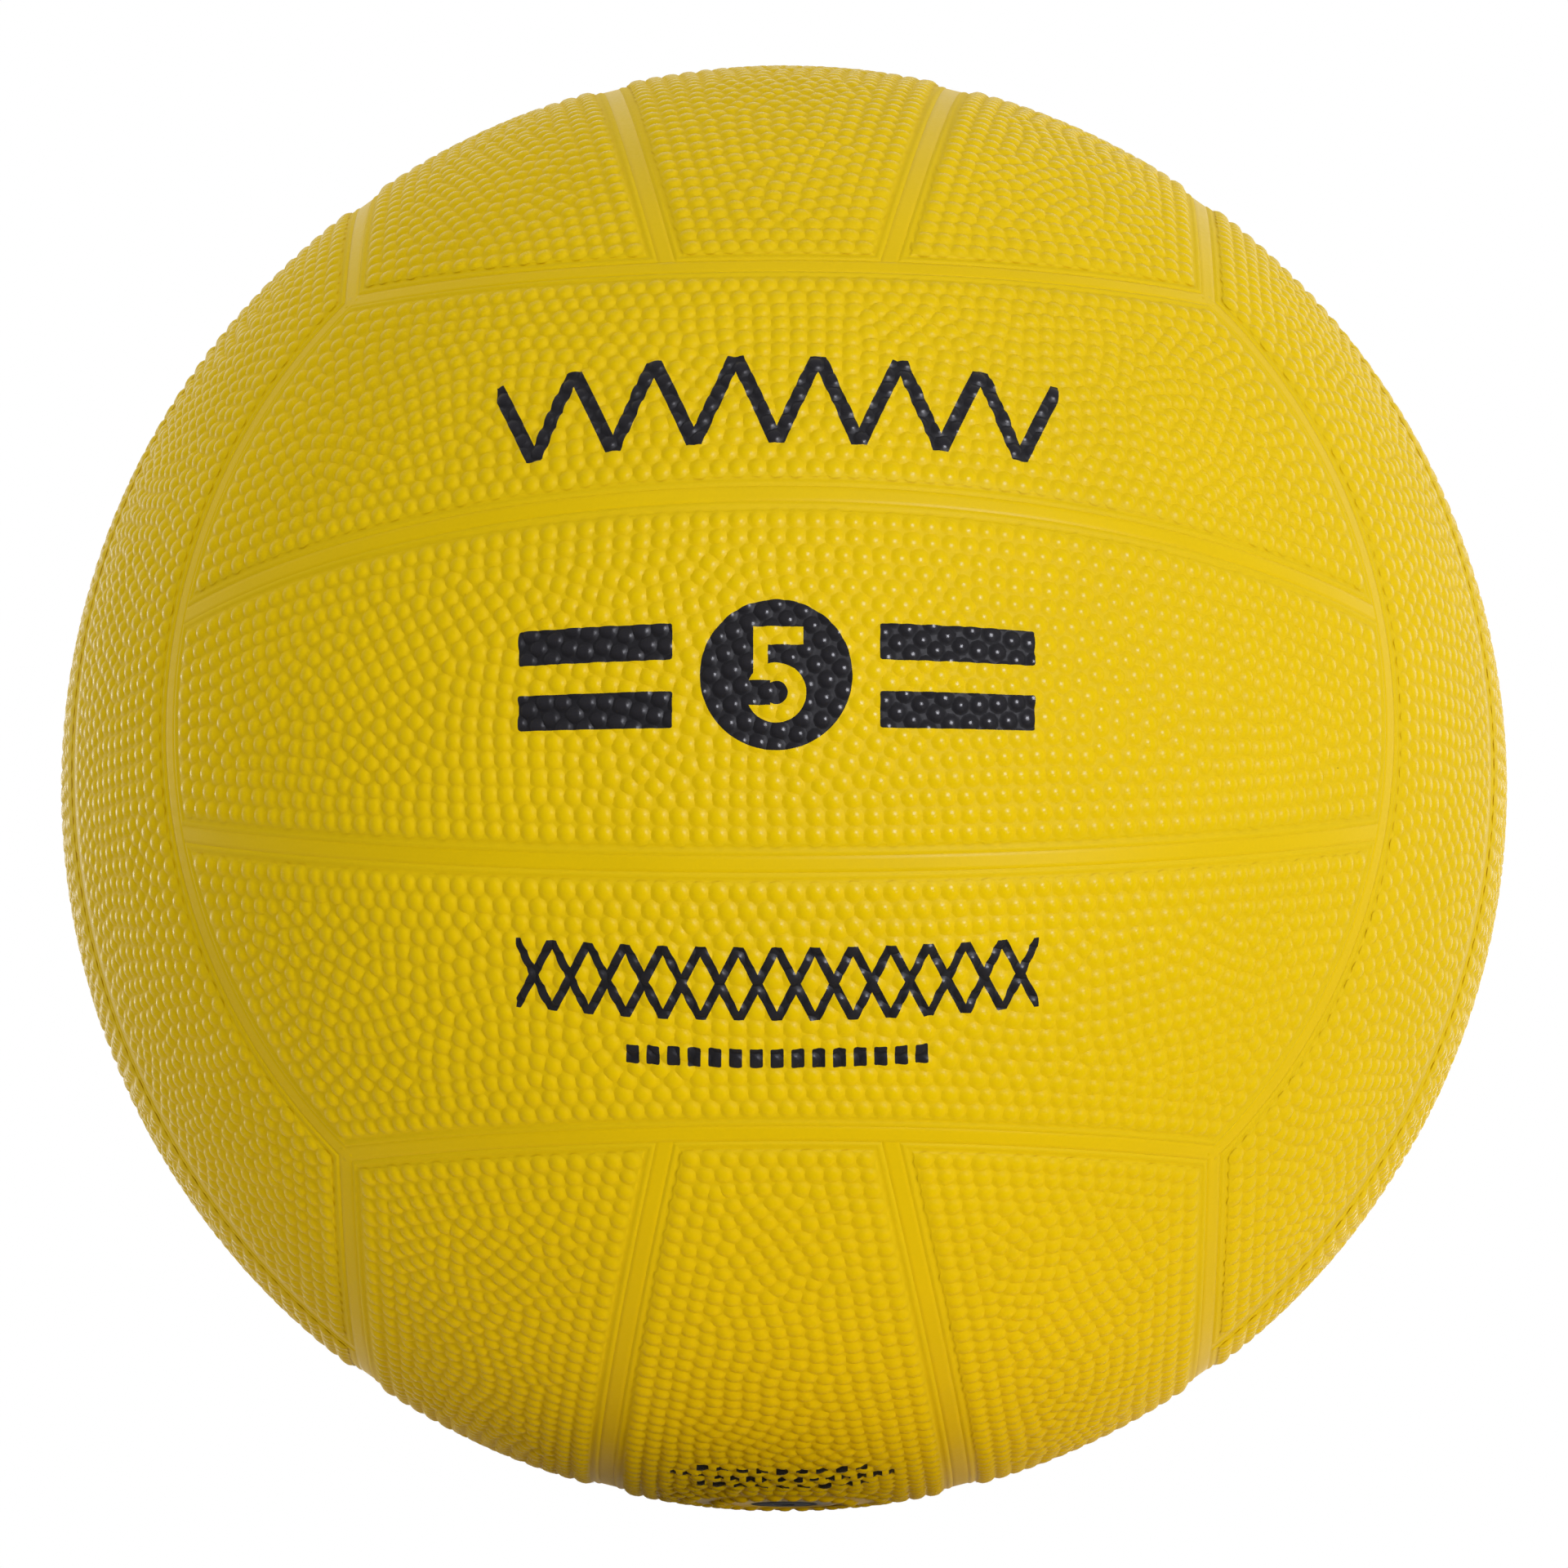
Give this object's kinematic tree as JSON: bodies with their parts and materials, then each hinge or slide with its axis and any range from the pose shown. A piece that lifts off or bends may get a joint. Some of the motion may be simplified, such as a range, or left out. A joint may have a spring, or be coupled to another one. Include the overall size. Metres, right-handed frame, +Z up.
{
  "type": "netball",
  "caption": "Moulded rubber netball with a pebbled yellow cover of middle and outer panels, smooth recessed seam strips, a wound carcass, a bladder and a pull-out needle valve core.",
  "frame": {"origin": "centre of the ball", "axes": "+Z up, away from the valve at the bottom; -Y is the side that the picture shows, whose panels run along X"},
  "size_m": [0.2228, 0.2228, 0.2224],
  "materials": {
    "cover_rubber": "satin",
    "strip_rubber": "satin",
    "carcass_rubber": "matte",
    "nylon_thread": "satin",
    "butyl_rubber": "satin",
    "patch_rubber": "matte",
    "valve_rubber": "satin",
    "core_rubber": "satin"
  },
  "bodies": {
    "ball": {"panel_front_upper": "cover_rubber", "panel_front_lower": "cover_rubber", "panel_back_upper": "cover_rubber", "panel_back_lower": "cover_rubber", "panel_bottom_right": "cover_rubber", "panel_bottom_left": "cover_rubber", "panel_top_right": "cover_rubber", "panel_top_left": "cover_rubber", "panel_left_back": "cover_rubber", "panel_left_front": "cover_rubber", "panel_right_back": "cover_rubber", "panel_right_front": "cover_rubber", "panel_front_middle": "cover_rubber", "panel_back_middle": "cover_rubber", "panel_bottom_middle": "cover_rubber", "panel_top_middle": "cover_rubber", "panel_left_middle": "cover_rubber", "panel_right_middle": "cover_rubber", "edge_strip_front_top": "strip_rubber", "edge_strip_front_bottom": "strip_rubber", "edge_strip_back_top": "strip_rubber", "edge_strip_back_bottom": "strip_rubber", "edge_strip_bottom_right": "strip_rubber", "edge_strip_bottom_left": "strip_rubber", "edge_strip_top_right": "strip_rubber", "edge_strip_top_left": "strip_rubber", "edge_strip_left_back": "strip_rubber", "edge_strip_left_front": "strip_rubber", "edge_strip_right_back": "strip_rubber", "edge_strip_right_front": "strip_rubber", "seam_strip_front_upper": "strip_rubber", "seam_strip_front_lower": "strip_rubber", "seam_strip_back_upper": "strip_rubber", "seam_strip_back_lower": "strip_rubber", "seam_strip_bottom_right": "strip_rubber", "seam_strip_bottom_left": "strip_rubber", "seam_strip_top_right": "strip_rubber", "seam_strip_top_left": "strip_rubber", "seam_strip_left_back": "strip_rubber", "seam_strip_left_front": "strip_rubber", "seam_strip_right_back": "strip_rubber", "seam_strip_right_front": "strip_rubber", "carcass": "carcass_rubber", "winding": "nylon_thread", "bladder": "butyl_rubber", "valve_patch": "patch_rubber", "valve_housing": "valve_rubber", "balance_patch": "patch_rubber"},
    "core": {"valve_core": "core_rubber"}
  },
  "joints": [
    {"name": "valve_core_slide", "type": "slide", "parent": "ball", "child": "core", "axis": [0, 0, -1], "range_m": [0, 0.03]}
  ]
}
